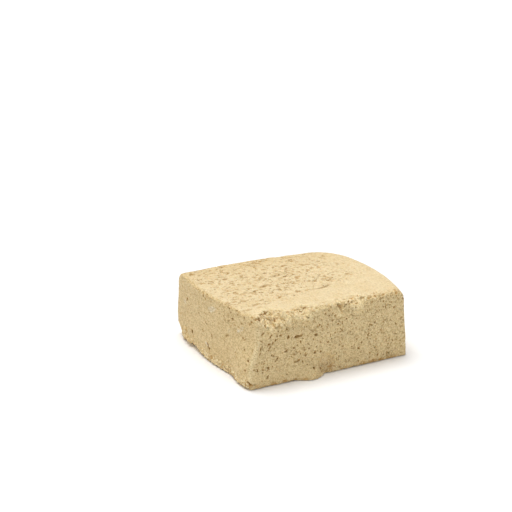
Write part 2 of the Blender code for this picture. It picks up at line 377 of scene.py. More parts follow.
# How lumps and loose crumbs are cut to shape: the number of flat sides, and how far out they lie
LUMP_SIDES = 11
LUMP_SIDE_REACH = (0.5, 0.9)
CRUMB_SIDES = 7
CRUMB_SIDE_REACH = (0.35, 0.75)
CRUMB_STRETCH = (0.75, 1.15)
CRUMB_BALL_SUBDIVISIONS = 2

# The largest lumps, in millimetres: in the bites by their place along X, Y and Z, and at the left
# corner's foot by their place along Y and Z in the knife cut, with their half sizes
BITE_LUMPS = (
    (-22.5, -37.4, 30.5, 1.2),
    (-26.5, -34.9, 31.2, 2.0),
    (-33.4, -33.2, 30.8, 1.5),
    (-13.7, -33.9, 31.7, 1.4),
    (-31.7, -36.7, 28.3, 1.4),
    (-29.2, -37.0, 28.3, 1.3),
    (-26.6, -37.5, 29.1, 1.3),
    (-19.3, -37.1, 29.6, 1.3),
    (-15.6, -36.8, 29.6, 1.3),
)
CORNER_LUMPS = (
    (27.0, 6.6, 1.5),
    (25.0, 4.2, 1.8),
    (21.9, 2.6, 1.7),
    (28.6, 3.6, 1.6),
)
CORNER_LUMP_SUNK = 0.4 * MM

# Pale smears and a scratch on the knife cut, and amber tints of painted warm shade at both cuts' feet,
# in millimetres and degrees: the place in the face, half length, half width, lean and strength
PALE_MARKS = (
    (-2.6, 26.9, 5.0, 1.4, -15, 1.0),
    (27.5, 20.5, 3.0, 2.0, -20, 0.3),
    (-25.7, 24.2, 5.0, 0.7, 140, 0.8),
    (-17.0, 21.0, 2.0, 0.6, -30, 0.5),
    (23.3, 6.7, 1.4, 1.1, 0, 1.0),
    (2.8, 8.0, 1.8, 0.6, 48, 0.9),
)
KNIFE_AMBER_SHADE_MARKS = (
    (17.0, 2.6, 1.6, 1.2, 0, 1.0),
    (-2.8, 2.6, 2.6, 1.4, 20, 1.0),
    (-10.5, 2.4, 2.4, 1.4, 20, 1.0),
    (-21.2, 1.6, 3.6, 1.1, 0, 1.0),
    (-35.7, 2.6, 2.0, 1.4, 0, 1.0),
    (26.5, 6.0, 2.2, 1.8, 0, 0.7),
)
AMBER_SHADE_MARKS = (
    (-3.4, 2.6, 3.6, 2.4, 0, 1.0),
    (-18.0, 0.8, 2.2, 1.2, 0, 0.8),
    (-41.0, 1.2, 2.4, 1.2, 0, 0.7),
)

# How far from a face the materials' mark for it is full, and from where it has faded out
KNIFE_FADE = (0.6 * MM, 2.0 * MM)
# How far the knife cut's painted shade, in its holes and at its foot, reaches
KNIFE_SHADE_FADE = (2.5 * MM, 4.5 * MM)
POROUS_FADE = (0.8 * MM, 3.0 * MM)
# How far up the painted warm shade along the bottom reaches
FOOT_SHADE_FADE = (0.4 * MM, 3.5 * MM)
TOP_FADE = (2 * MM, 4 * MM)
RIM_FADE = (3.5 * MM, 5.5 * MM)

# Between which values the other marks grow: the bites by their reach, the crumbs by the distance
# from the bites' slant, negative inside it, and the back of the block along Y
BITTEN_FROM = (1.5 * MM, 3 * MM)
CRUMBS_FROM = (-2.8 * MM, -1.2 * MM)
BACK_FROM = (8 * MM, 38 * MM)

# The share of torn pits on the moulded walls, and the depth up to which pores are told apart
TORN_BELOW_TOP = 0.15
DEEPEST_MARK_MM = 1.5

# The painted highlights along the crests of the near corner and of the lower edge of the bites
CORNER_HIGHLIGHT_REACH = 1.8 * MM
BITE_HIGHLIGHT_REACH = 1.6 * MM
BITE_HIGHLIGHT_IN = 0.3 * MM

# The painted shade in a large pore: how much longer and wider than the pore, and how dark by its depth,
# and how much wider than the crack its painted shade is
HOLE_SHADE_LONGER = 1.2
HOLE_SHADE_WIDER = 1.1
HOLE_SHADE_LEAST = 0.25
HOLE_SHADE_BY_DEPTH = 0.32
CRACK_SHADE_WIDER = 1.3

# How dark the painted shade in the holes of each face and in the crack is
POROUS_HOLE_SHADE = 0.75
RIM_HOLE_SHADE = 0.9
TOP_HOLE_SHADE = 0.75
CRACK_SHADE = 0.7

# How many random values the relief draws on, and the seeds of all random draws
NOISE_TABLE_SIZE = 256
RELIEF_SEED = 7
PORE_SEED = 21
CRUMB_SEED = 33
LOOSE_CRUMB_SEED = 55

# Colours of the paste in daylight, as 8-bit display values
CREAM = (240, 219, 176)
DEEP_CREAM = (227, 200, 149)
# The cut faces' tans are partly the cut paste's own tone and partly painted shade, deeper and warmer as
# the sides are shaded
POROUS_TAN_AND_SHADE = (237, 213, 162)
KNIFE_TAN_AND_SHADE = (229, 203, 151)
# Painted warm shade in the pores and pits, and darker in the deepest and in the named holes
PORE_SHADE_BROWN = (190, 142, 64)
HOLE_SHADE_BROWN = (132, 92, 38)
# Painted warm shade between the crumbs at the cuts' feet
FOOT_SHADE_AMBER = (198, 144, 62)
# The pale crumbs' colour, also used for the painted highlight along the crests
CRUMB_WHITE_AND_HIGHLIGHT = (249, 230, 184)
PALE_GREY = (246, 236, 212)
GRAIN_SHADE = (186, 173, 138)

# The floor, a little below the block so that their faces don't meet
FLOOR_HALF_SIZE = 2.0
FLOOR_DROP = 0.2 * MM
FLOOR_WHITE = (250, 250, 250)
FLOOR_ROUGHNESS = 0.8

# The camera, placed so that the block falls where the photograph shows it. It looks at a point
# beside the block, given by how far it is moved to the right and up.
CAMERA_AZIMUTH_DEGREES = -29.06
CAMERA_ELEVATION_DEGREES = 18.555
CAMERA_DISTANCE = 602.1 * MM
CAMERA_PAN_RIGHT = -18.54 * MM
CAMERA_PAN_UP = 41.9 * MM
SENSOR_WIDTH_MM = 36.0
FOCAL_LENGTH_MM = 88.17
CLIP_START = 10 * MM

# The studio light: a broad soft lamp far away, in a pale surrounding
LIGHT_COMES_FROM = (-0.1, 0.15, 1.0)
LIGHT_SPREAD_DEGREES = 35
LIGHT_STRENGTH = 2.1
SURROUNDING_STRENGTH = 0.52


def grid_line(low, high):
    """Grid coordinates from one side of the block to the other, with a margin on both sides."""
    return np.arange(low - GRID_MARGIN, high + GRID_MARGIN, VOXEL, dtype=np.float32)


LINES = [grid_line(low, high) for low, high in zip(BLOCK_LOW, BLOCK_HIGH)]
GRID_LOW = np.array([line[0] for line in LINES])
X = LINES[0][:, None, None]
Y = LINES[1][None, :, None]
Z = LINES[2][None, None, :]


def scattered_values(seed):
    """A table of random values from -1 to 1 and a shuffled index into it, for lattice_noise."""
    draw = np.random.default_rng(seed)
    return draw.uniform(-1, 1, NOISE_TABLE_SIZE), draw.permutation(NOISE_TABLE_SIZE)


NOISE_VALUES, NOISE_ORDER = scattered_values(RELIEF_SEED)


def lattice_noise(size, stretch=(1, 1, 1)):
    """Smooth random relief over the grid, from about -1 to 1, with bumps about one size apart."""
    places = [line / (size * part) for line, part in zip(LINES, stretch)]
    bases = [np.floor(place).astype(int) for place in places]
    slots = np.zeros((1, 1, 1), int)
    for axis, base in enumerate(bases):
        nodes = np.arange(base[0], base[-1] + 2)
        shape = [1, 1, 1]
        shape[axis] = len(nodes)
        slots = NOISE_ORDER[(slots + nodes.reshape(shape)) % NOISE_TABLE_SIZE]
    values = NOISE_VALUES[slots].astype(np.float32)
    for axis, (place, base) in enumerate(zip(places, bases)):
        within = (place - base).astype(np.float32)
        within = within * within * (3 - 2 * within)
        shape = [1, 1, 1]
        shape[axis] = len(within)
        within = within.reshape(shape)
        index = base - base[0]
        lower = np.take(values, index, axis=axis)
        upper = np.take(values, index + 1, axis=axis)
        values = lower + (upper - lower) * within
    return values


def relief(kind):
    """One of the surface unevennesses above, with a finer layer over the coarse one."""
    amount, size = kind
    return amount * (lattice_noise(size) + FINER_HEIGHT * lattice_noise(FINER_SIZE * size))


def smooth_step(value, low, high):
    share = np.clip((value - low) / (high - low), 0, 1)
    return share * share * (3 - 2 * share)


def torn_pits(kind, share):
    """How deep ragged pits reach where random relief rises over a level; share thins them out."""
    depth, size, stretch, levels = kind
    finer = lattice_noise(TORN_FINER_SIZE * size, stretch)
    ragged = lattice_noise(size, stretch) + TORN_FINER_HEIGHT * finer
    crowding = TORN_CROWDING_HEIGHT * lattice_noise(TORN_CROWDING_SIZE * size, stretch)
    return depth * smooth_step(ragged + crowding + TORN_THINNING * (share - 1), *levels)


def hump(distance, half_width):
    """1 in the middle, falling smoothly to 0 at the half width and beyond."""
    share = np.clip(np.abs(distance) / half_width, 0, 1)
    return (1 - share * share) ** 2


def round_join(first, second, radius):
    """Where two solids given by outward distances overlap, with the edge between them rounded."""
    beyond_first = np.maximum(first + radius, 0)
    beyond_second = np.maximum(second + radius, 0)
    return np.minimum(-radius, np.maximum(first, second)) + np.hypot(beyond_first, beyond_second)


def right_wall_x(y, z):
    return LENGTH / 2 - WALL_LEAN * z - (y - RIGHT_BOW_Y) ** 2 / (2 * RIGHT_BOW_RADIUS)


def back_wall_y(x, z):
    return WIDTH / 2 - WALL_LEAN * z - (x - BACK_BOW_X) ** 2 / (2 * BACK_BOW_RADIUS)


def knife_cut_x(y, z):
    swelling = hump(y - SWELLING_Y, SWELLING_HALF_LENGTH) * hump(z - SWELLING_Z, SWELLING_HALF_HEIGHT)
    return -LENGTH / 2 + (y - KNIFE_BOW_Y) ** 2 / (2 * KNIFE_BOW_RADIUS) - SWELLING_PROUD * swelling


def porous_cut_y(x, z):
    lip = hump(x - LIP_X, LIP_HALF_LENGTH) * hump(z, LIP_HALF_HEIGHT)
    return POROUS_FACE_Y - LIP_PROUD * lip


def moulded_body():
    """Outward distance from the block as it came out of its mould, before it was cut."""
    wall_relief = relief(WALL_RELIEF)
    right = X - right_wall_x(Y, Z) + wall_relief
    back = Y - back_wall_y(X, Z) + wall_relief
    top = Z - HEIGHT - relief(TOP_RELIEF) + TOP_RELIEF[0]
    roll = LEFT_TOP_ROLL_RADIUS + (RIGHT_TOP_ROLL_RADIUS - LEFT_TOP_ROLL_RADIUS) * (X / LENGTH + 0.5)
    return round_join(round_join(right, back, BACK_CORNER_RADIUS), top, roll)


def bite_sizes(along, bites, least):
    """How far the bites cut across each of the two surfaces beside an edge, at places along it."""
    first = np.full(np.shape(along), least)
    second = first.copy()
    for middle, half_length, bite_first, bite_second in bites:
        share = hump(along - middle, half_length)
        first = np.maximum(first, bite_first * share)
        second = np.maximum(second, bite_second * share)
    return first, second


def slanting_cut(from_first, from_second, sizes):
    """Outward distance from the slanting plane that takes an edge off between two surfaces."""
    first, second = sizes
    slant = 1 - from_first / first - from_second / second
    return slant * first * second / np.hypot(first, second)


def bitten_edge():
    """Outward distance from the slanting, craggy bed that the bites leave along the porous cut."""
    sizes = bite_sizes(X, EDGE_BITES, UNBROKEN_EDGE)
    broken = np.clip((sizes[0] - UNBROKEN_EDGE) / CRAGS_START_WITHIN, 0, 1)
    slant = slanting_cut(Y - porous_cut_y(X, Z), HEIGHT - Z, sizes)
    return slant + broken * (relief(CRAG_RELIEF) + CRUMB_BED_DEPTH)


def from_rim():
    """Distance from the ragged line where the smooth top breaks off, positive inside the bites."""
    reach, _ = bite_sizes(X, EDGE_BITES, 0)
    return reach - (Y - porous_cut_y(X, Z)) + relief(RIM_RELIEF)


def broken_rim():
    """Outward distance from the steep step that bounds each bite in the top."""
    reach, _ = bite_sizes(X, EDGE_BITES, 0)
    step = RIM_STEP * np.clip(reach / CRAGS_START_WITHIN, 0, 1)
    return np.minimum(from_rim(), Z - HEIGHT + step)


def rim_crevice():
    """Outward distance from a crevice that opens here and there along the rim of the bites."""
    reach, _ = bite_sizes(X, EDGE_BITES, 0)
    here_and_there = smooth_step(lattice_noise(CREVICE_SPACING), *CREVICE_LEVELS)
    at_corner = hump(X - CORNER_CREVICE_X, CORNER_CREVICE_HALF_LENGTH)
    open_share = np.maximum(here_and_there, smooth_step(at_corner, 0, CORNER_CREVICE_OPEN_FROM))
    open_share = open_share * np.clip(reach / CREVICE_STARTS_WITHIN, 0, 1)
    crevice = CREVICE_HALF_WIDTH * open_share - np.abs(from_rim())
    return np.minimum(crevice, Z - HEIGHT + CREVICE_DEPTH * open_share)


def crumbled_feet():
    """Outward distance from the slanting planes that crumbling leaves at the feet of both cuts."""
    knife = slanting_cut(X - knife_cut_x(Y, Z), Z, bite_sizes(Y, FOOT_BITES, KNIFE_FOOT_CRUMBLE))
    porous = slanting_cut(Y - porous_cut_y(X, Z), Z, (POROUS_FOOT_CRUMBLE, POROUS_FOOT_CRUMBLE))
    return np.maximum(knife, porous)


def hollow(place):
    """Outward distance from a block with an egg-shaped hollow, positive inside the hollow."""
    (middle_x, middle_y, middle_z), (half_x, half_y, half_z) = place
    share_x = (X - middle_x) / half_x
    share_y = (Y - middle_y) / half_y
    share_z = (Z - middle_z) / half_z
    return (1 - np.sqrt(share_x**2 + share_y**2 + share_z**2)) * min(half_x, half_y, half_z)


def crack_line(x, y):
    """Distance from the crack's arc in plan, and how wide the crack opens there, from 0 to 1."""
    along_x = x - CRACK_CENTRE[0]
    along_y = y - CRACK_CENTRE[1]
    from_arc = np.abs(np.hypot(along_x, along_y) - CRACK_RADIUS)
    middle = (CRACK_START_DEGREES + CRACK_END_DEGREES) / 2
    turn = np.degrees(np.arctan2(along_y, along_x)) - middle
    return from_arc, hump(turn, (CRACK_END_DEGREES - CRACK_START_DEGREES) / 2)


def arched_crack():
    """Outward distance from a block with the crack in its top, positive inside the crack."""
    from_arc, opening = crack_line(X, Y)
    depth = (HEIGHT - Z) / CRACK_DEPTH
    return (opening - from_arc / CRACK_HALF_WIDTH - depth) * CRACK_HALF_WIDTH


def faded(distance, fade):
    """1 up to the nearer distance from a face, falling smoothly to 0 at the farther one."""
    return 1 - smooth_step(distance, *fade)


def torn_surface():
    """How far the fine relief and the torn pits stand under the plain surface, over the grid."""
    on_porous = faded(Y - porous_cut_y(X, Z), TORN_FADE)
    on_knife = faded(X - knife_cut_x(Y, Z), KNIFE_TORN_FADE)
    on_top = faded(HEIGHT - Z, TORN_FADE) * (1 - on_knife)
    top = relief(FINE_TOP_RELIEF) + torn_pits(TORN_TOP, top_share(X, Y))
    porous = torn_pits(TORN_POROUS, porous_share(X, Z))
    on_edge = on_top * hump(Y - porous_cut_y(X, Z), TORN_EDGE_REACH)
    porous_strength = np.maximum(on_porous, on_edge) * (1 - on_knife)
    return top * on_top * (1 - on_porous) + porous * porous_strength


def plain_block():
    """Outward distance from the block before its pits and crumbs, over the whole grid."""
    knife = knife_cut_x(Y, Z) - X + relief(KNIFE_RELIEF) + relief(FINE_KNIFE_RELIEF)
    porous = porous_cut_y(X, Z) - Y + relief(POROUS_RELIEF) + relief(FINE_POROUS_RELIEF)
    block = round_join(moulded_body(), knife, KNIFE_EDGE_RADIUS)
    block = round_join(block, porous, POROUS_EDGE_RADIUS)
    block = np.maximum(block, crumbled_feet())
    block = np.maximum(block, bitten_edge())
    block = np.maximum(block, broken_rim())
    for place in (CHIPPED_FOOT, CHIPPED_CORNER, KNIFE_EDGE_NOTCH, LARGEST_TOP_PIT):
        block = np.maximum(block, hollow(place))
    return np.maximum(block, arched_crack()).astype(np.float32)


def egg_distance(offsets, axes, halves):
    """Outward distance from an egg whose half sizes lie along three axes at right angles."""
    total = 0
    for axis, half in zip(axes, halves):
        total = total + (along_axis(offsets, axis) / half) ** 2
    return (np.sqrt(total) - 1) * min(halves)


def crumb_distance(offsets, half_size, sides, reaches):
    """Outward distance from an angular crumb: a ball cut down by flat sides all round."""
    crumb = egg_distance(offsets, np.eye(3), [half_size] * 3)
    for side, reach in zip(sides, reaches):
        crumb = np.maximum(crumb, along_axis(offsets, side) - reach * half_size)
    return crumb


def along_axis(offsets, axis):
    along_x, along_y, along_z = offsets
    return (
        along_x[:, None, None] * axis[0]
        + along_y[None, :, None] * axis[1]
        + along_z[None, None, :] * axis[2]
    )


class Body:
    """The block on the grid, as it was plain and as it is with its pores carved and crumbs stuck on."""

    def __init__(self):
        self.plain = plain_block()
        self.form = (self.plain + torn_surface()).astype(np.float32)

    def near(self, middle, reach):
        """The slices of the grid within reach of a point, and their distances from it by axis."""
        first = np.floor((middle - reach - GRID_LOW) / VOXEL).astype(int)
        last = np.ceil((middle + reach - GRID_LOW) / VOXEL).astype(int) + 1
        window = tuple(slice(max(a, 0), max(b, 0)) for a, b in zip(first, last))
        return window, [line[part] - centre for line, part, centre in zip(LINES, window, middle)]

    def settled(self, point, outward):
        """The point moved inward or outward, in two steps, onto the plain, uneven surface."""
        for _ in range(2):
            cell = np.rint((point - GRID_LOW) / VOXEL).astype(int)
            cell = np.clip(cell, 0, np.array(self.plain.shape) - 1)
            point = point - outward * self.plain[tuple(cell)]
        return point

    def carve(self, middle, axes, halves):
        """Takes an egg-shaped hole out of the block."""
        window, offsets = self.near(middle, max(halves) + VOXEL)
        if self.form[window].size:
            hole = egg_distance(offsets, axes, halves)
            self.form[window] = np.maximum(self.form[window], -hole)

    def cut_away(self, distance):
        self.form = np.maximum(self.form, distance).astype(np.float32)

    def stick_crumb(self, draw, middle, half_size):
        """Sticks an angular crumb onto the block."""
        sides = draw.normal(size=(LUMP_SIDES, 3))
        sides /= np.linalg.norm(sides, axis=1)[:, None]
        reaches = draw.uniform(*LUMP_SIDE_REACH, LUMP_SIDES)
        window, offsets = self.near(middle, half_size + VOXEL)
        if self.form[window].size:
            crumb = crumb_distance(offsets, half_size, sides, reaches)
            self.form[window] = np.minimum(self.form[window], crumb)


# Each surface: its two axes in the surface, its outward axis, and a point on it for two coordinates
ALONG_X, ALONG_Y, ALONG_Z = np.eye(3)
TOP = (ALONG_X, ALONG_Y, ALONG_Z, lambda s, t: (s, t, HEIGHT))
KNIFE = (ALONG_Y, ALONG_Z, -ALONG_X, lambda s, t: (knife_cut_x(s, t), s, t))
POROUS = (ALONG_X, ALONG_Z, -ALONG_Y, lambda s, t: (s, porous_cut_y(s, t), t))
RIGHT_WALL = (ALONG_Y, ALONG_Z, ALONG_X, lambda s, t: (right_wall_x(s, t), s, t))
BACK_WALL = (ALONG_X, ALONG_Z, ALONG_Y, lambda s, t: (s, back_wall_y(s, t), t))


def pore(body, surface, place, size, lean):
    """One pore in a surface: half length, half width and depth, turned by lean in the surface."""
    along, across, outward, point_at = surface
    half_length, half_width, depth = size
    long_axis = along * math.cos(lean) + across * math.sin(lean)
    short_axis = across * math.cos(lean) - along * math.sin(lean)
    middle = body.settled(np.array(point_at(*place)), outward) + outward * PORE_RAISED * depth
    halves = (half_length, half_width, (1 + PORE_RAISED) * depth)
    body.carve(middle, (long_axis, short_axis, outward), halves)


def ragged_pore(body, draw, surface, place, size, lean):
    """A pore made of a few overlapping holes along its length, so that its outline is uneven."""
    half_length, half_width, depth = size
    count = 1 + int(half_length / half_width > SLENDER_FROM) + int(half_length > LONG_FROM)
    for step in range(count):
        shift = (step - (count - 1) / 2) * half_length * PART_SPACING
        sideways = draw.normal(0, PART_SCATTER) * half_width
        spot = (
            place[0] + shift * math.cos(lean) - sideways * math.sin(lean),
            place[1] + shift * math.sin(lean) + sideways * math.cos(lean),
        )
        share = draw.uniform(*PART_SIZES)
        length = half_length * (1 if count == 1 else PART_LENGTH) * share
        part = (length, min(half_width * share, length), depth * share)
        pore(body, surface, spot, part, lean + draw.normal(0, PART_TURN))


def scatter_pores(body, draw, surface, area, share_at, count, size, lean, lean_spread):
    """Random pores over a rectangle of a surface; share_at gives the share of them at a place."""
    (low_s, high_s), (low_t, high_t) = area
    for _ in range(count):
        place = (draw.uniform(low_s, high_s), draw.uniform(low_t, high_t))
        scale = math.exp(draw.normal(0, PORE_SIZE_SPREAD))
        turn = lean + draw.normal(0, lean_spread)
        if draw.random() > share_at(*place):
            continue
        ragged_pore(body, draw, surface, place, [part * MM * scale for part in size], turn)


def top_share(x, y):
    """Pores are common on the left of the top, rare to the right and by the near edge."""
    start_x, start_y = RARE_LINE_START
    from_right = (TOP_RAREST_X - x) / TOP_RARE_LENGTH
    from_line = (y - start_y - RARE_LINE_SLANT * (x - start_x)) / COMMON_AGAIN_WITHIN
    return np.clip(from_right, TOP_LEAST_ON_RIGHT, 1) * np.clip(from_line, TOP_LEAST_IN_FRONT, 1)


def edge_share(x, y):
    """Pores of the porous cut creep over the unbroken stretch of its top edge."""
    return EDGE_PORE_SHARE * hump(y - POROUS_FACE_Y, EDGE_PORE_REACH)


def knife_share(y, z):
    """Pores crowd under the knife cut's top edge, in two patches and at its foot."""
    half_height, most = KNIFE_TOP_BAND
    ending = np.clip((KNIFE_TOP_BAND_END_Y - y) / KNIFE_TOP_BAND_FADE, 0, 1)
    crowding = most * hump(z - HEIGHT, half_height) * ending
    half_height, most = KNIFE_FOOT_BAND
    crowding = max(crowding, most * hump(z, half_height))
    for middle_y, half_length, middle_z, half_height, most in KNIFE_PATCHES:
        patch = most * hump(y - middle_y, half_length) * hump(z - middle_z, half_height)
        crowding = max(crowding, patch)
    return KNIFE_SHARE + crowding


def porous_share(x, z):
    """Pores cover the porous cut, but for its smeared foot."""
    smeared = hump(z - SMEAR_Z, SMEAR_HALF_HEIGHT) * np.clip((SMEAR_END_X - x) / SMEAR_FADE, 0, 1)
    return 1 - SMEAR_STRENGTH * smeared


def wall_share(along, z):
    """Pores lie all over the moulded walls."""
    return WALL_PORE_SHARE


# Scattered pores: the surface, the area along its two axes, the share kept at each place, how many
# places are tried, half length, half width and depth in millimetres, lean in radians and its spread
TOP_AREA = ((-44 * MM, 44 * MM), (-36 * MM, 38 * MM))
TOP_EDGE_AREA = ((14 * MM, 42 * MM), (-38 * MM, -32 * MM))
KNIFE_AREA = ((-38 * MM, 38 * MM), (1 * MM, HEIGHT))
POROUS_AREA = ((-43 * MM, 43 * MM), (1 * MM, HEIGHT))
WALL_AREA = ((-40 * MM, 40 * MM), (1 * MM, HEIGHT - 2 * MM))
SCATTERED_PORES = (
    (TOP, TOP_AREA, top_share, 110, (0.95, 0.75, 0.6), 0, 0.35),
    (TOP, TOP_AREA, top_share, 1100, (0.5, 0.42, 0.4), 0, 0.5),
    (TOP, TOP_EDGE_AREA, edge_share, 220, (0.6, 0.4, 0.6), 0, 0.8),
    (KNIFE, KNIFE_AREA, knife_share, 1500, (0.4, 0.28, 0.45), 0.7, 0.6),
    (POROUS, POROUS_AREA, porous_share, 60, (0.5, 0.3, 0.7), 0.6, 0.8),
    (POROUS, POROUS_AREA, porous_share, 1500, (0.3, 0.24, 0.5), 0, 1.5),
    (RIGHT_WALL, WALL_AREA, wall_share, 220, (0.6, 0.36, 0.4), 0, 0.4),
    (BACK_WALL, WALL_AREA, wall_share, 220, (0.6, 0.36, 0.4), 0, 0.4),
)


def carve_scattered_pores(body):
    draw = np.random.default_rng(PORE_SEED)
    for kind in SCATTERED_PORES:
        scatter_pores(body, draw, *kind)


def knife_pores():
    return [*KNIFE_PORES, *((*place, *HOLE) for place in HOLE_PLACES)]


def porous_pores():
    return [*POROUS_PORES, *((*place, *SLIT) for place in SLIT_PLACES)]


def carve_largest_pores(body):
    draw = np.random.default_rng(PORE_SEED + 1)
    tables = ((TOP, TOP_PORES), (TOP, RIM_PORES), (KNIFE, knife_pores()), (POROUS, porous_pores()))
    for surface, rows in tables:
        for first, second, half_length, half_width, depth, lean in rows:
            size = (half_length * MM, half_width * MM, depth * MM)
            ragged_pore(body, draw, surface, (first * MM, second * MM), size, math.radians(lean))


def band_place(body, draw, low_x, high_x):
    """A random place on the bed of the bitten edge, how deep the bite is there, and the way out."""
    x = draw.uniform(low_x, high_x)
    share = draw.uniform(*BAND_SPREAD)
    reach, drop = bite_sizes(x, EDGE_BITES, UNBROKEN_EDGE)
    z = HEIGHT - drop * share
    point = np.array([x, porous_cut_y(x, z) + reach * (1 - share), z])
    outward = np.array([0, -drop, reach]) / np.hypot(reach, drop)
    return body.settled(point, outward), (reach - UNBROKEN_EDGE) / BAND_FULL_REACH, outward


def kept_low(middle, half_size):
    """The middle of a crumb, lowered where the crumb would stand too far over the top."""
    highest = HEIGHT + CRUMBS_OVER_TOP - CRUMB_TOP_SHARE * half_size
    return np.array([middle[0], middle[1], min(middle[2], highest)])


def fill_edge_bites(body):
    """Lumps lie packed along the bitten edge."""
    draw = np.random.default_rng(CRUMB_SEED)
    count, along, sizes, sunk_shares = BAND_LUMPS
    for _ in range(count):
        middle, bitten, outward = band_place(body, draw, *along)
        half_size = draw.uniform(*sizes)
        sunk = draw.uniform(*sunk_shares) * half_size
        if draw.random() < bitten:
            body.stick_crumb(draw, kept_low(middle - outward * sunk, half_size), half_size)
    body.cut_away(rim_crevice())
    for *middle, half_size in np.array(BITE_LUMPS) * MM:
        body.stick_crumb(draw, kept_low(middle, half_size), half_size)


def foot_place(draw, low_y, high_y, spread):
    """A random place at the knife cut's foot, on the slant where it has crumbled away."""
    y = draw.uniform(low_y, high_y)
    z = abs(draw.normal(0, spread))
    reach, rise = bite_sizes(y, FOOT_BITES, KNIFE_FOOT_CRUMBLE)
    return np.array([knife_cut_x(y, z) + reach * max(0, 1 - z / rise), y, z])


def foot_crumbs(draw, count, along, sunk_shares):
    """Random middles and half sizes of crumbs along the knife cut's foot, one by one."""
    for _ in range(count):
        middle = foot_place(draw, *along, FOOT_CRUMB_SPREAD)
        half_size = draw.uniform(*FOOT_CRUMB_SIZES)
        middle[0] += draw.uniform(*sunk_shares) * half_size
        yield middle, half_size


def nibble_foot(body, draw, surface, nibbles):
    """Takes small hollows out of the foot of a cut."""
    count, along, sizes, proud, highest = nibbles
    *_, outward, point_at = surface
    for _ in range(count):
        middle = np.array(point_at(draw.uniform(*along), 0)) + outward * proud
        nibble = draw.uniform(*sizes)
        middle[2] = draw.uniform(0, highest)
        body.carve(middle, np.eye(3), nibble * draw.uniform(*NIBBLE_STRETCH, 3))


def crumble_feet(body):
    """Lumps cling along the feet of both cuts, and nibbles are missing between them."""
    draw = np.random.default_rng(CRUMB_SEED + 1)
    for middle, half_size in foot_crumbs(draw, *FOOT_LUMPS):
        body.stick_crumb(draw, middle, half_size)
    for count, along in LARGER_LUMPS:
        for _ in range(count):
            middle = foot_place(draw, *along, LARGER_LUMP_SPREAD)
            half_size = draw.uniform(*LARGER_LUMP_SIZES)
            middle[0] += LARGER_LUMP_SUNK * half_size
            body.stick_crumb(draw, middle, half_size)
    for y, z, half_size in np.array(CORNER_LUMPS) * MM:
        middle = np.array([knife_cut_x(y, z) + CORNER_LUMP_SUNK, y, z])
        body.stick_crumb(draw, middle, half_size)
    nibble_foot(body, draw, KNIFE, KNIFE_NIBBLES)
    nibble_foot(body, draw, POROUS, POROUS_NIBBLES)


def loose_crumb_places(body, draw):
    """Middles and half sizes of the fine crumbs that cling to the block."""
    places = []
    count, along, sizes, proud_shares = BAND_CRUMBS
    for _ in range(count):
        middle, bitten, outward = band_place(body, draw, *along)
        half_size = draw.uniform(*sizes)
        middle = kept_low(middle + outward * draw.uniform(*proud_shares) * half_size, half_size)
        if draw.random() < bitten + STRAY_CRUMBS:
            places.append((middle, half_size))
    for stretch in FOOT_CRUMBS:
        for middle, half_size in foot_crumbs(draw, *stretch):
            places.append((middle + np.array([0, 0, half_size]), half_size))
    count, spread_x, spread_z, sizes = CHIP_CRUMBS
    for _ in range(count):
        x = draw.normal(*spread_x)
        z = abs(draw.normal(0, spread_z))
        half_size = draw.uniform(*sizes)
        point = np.array([x, porous_cut_y(x, z), z + half_size])
        places.append((body.settled(point, -ALONG_Y), half_size))
    return places


def crumb_points(draw, ball, half_size):
    """A ball pressed flat on several random sides, so that it has faces and corners."""
    points = ball * draw.uniform(*CRUMB_STRETCH, 3)
    for _ in range(CRUMB_SIDES):
        side = draw.normal(size=3)
        side /= np.linalg.norm(side)
        beyond = np.maximum(points @ side - draw.uniform(*CRUMB_SIDE_REACH), 0)
        points = points - beyond[:, None] * side
    return points * half_size


def loose_crumb_mesh(body):
    """All the loose crumbs as one mesh, each with a tint of its own."""
    net = bmesh.new()
    bmesh.ops.create_icosphere(net, subdivisions=CRUMB_BALL_SUBDIVISIONS, radius=1)
    ball = np.array([vert.co for vert in net.verts])
    ball_faces = np.array([[vert.index for vert in face.verts] for face in net.faces])
    net.free()
    draw = np.random.default_rng(LOOSE_CRUMB_SEED)
    points, faces, tints = [], [], []
    for middle, half_size in loose_crumb_places(body, draw):
        crumb = crumb_points(draw, ball, half_size) + middle
        crumb[:, 2] = np.maximum(crumb[:, 2], 0)
        faces.append(ball_faces + len(ball) * len(points))
        points.append(crumb)
        tints.append(np.full(len(ball), draw.random()))
    mesh = bpy.data.meshes.new("loose_crumbs")
    mesh.from_pydata(np.concatenate(points), [], np.concatenate(faces).tolist())
    tint = mesh.attributes.new("tint", "FLOAT", "POINT")
    tint.data.foreach_set("value", np.concatenate(tints).astype(np.float32))
    return mesh


def corner_values(grid, cells):
    """The grid's values at the eight corners of each cell."""
    corners = {}
    for corner in itertools.product((0, 1), repeat=3):
        i, j, k = (cells + corner).T
        corners[corner] = grid[i, j, k]
    return corners


def net_points(block, cells):
    """One point in each cell that the surface passes, at the middle of its edge crossings."""
    corners = corner_values(block, cells)
    total = np.zeros((len(cells), 3))
    count = np.zeros(len(cells))
    for axis in range(3):
        for start in itertools.product((0, 1), repeat=3):
            if start[axis]:
                continue
            end = tuple(np.add(start, np.eye(3, dtype=int)[axis]))
            low, high = corners[start], corners[end]
            crossed = (low < 0) != (high < 0)
            spot = np.tile(np.array(start, float), (len(cells), 1))
            spot[:, axis] = low / np.where(crossed, low - high, 1)
            total += spot * crossed[:, None]
            count += crossed
    return cells + total / count[:, None]


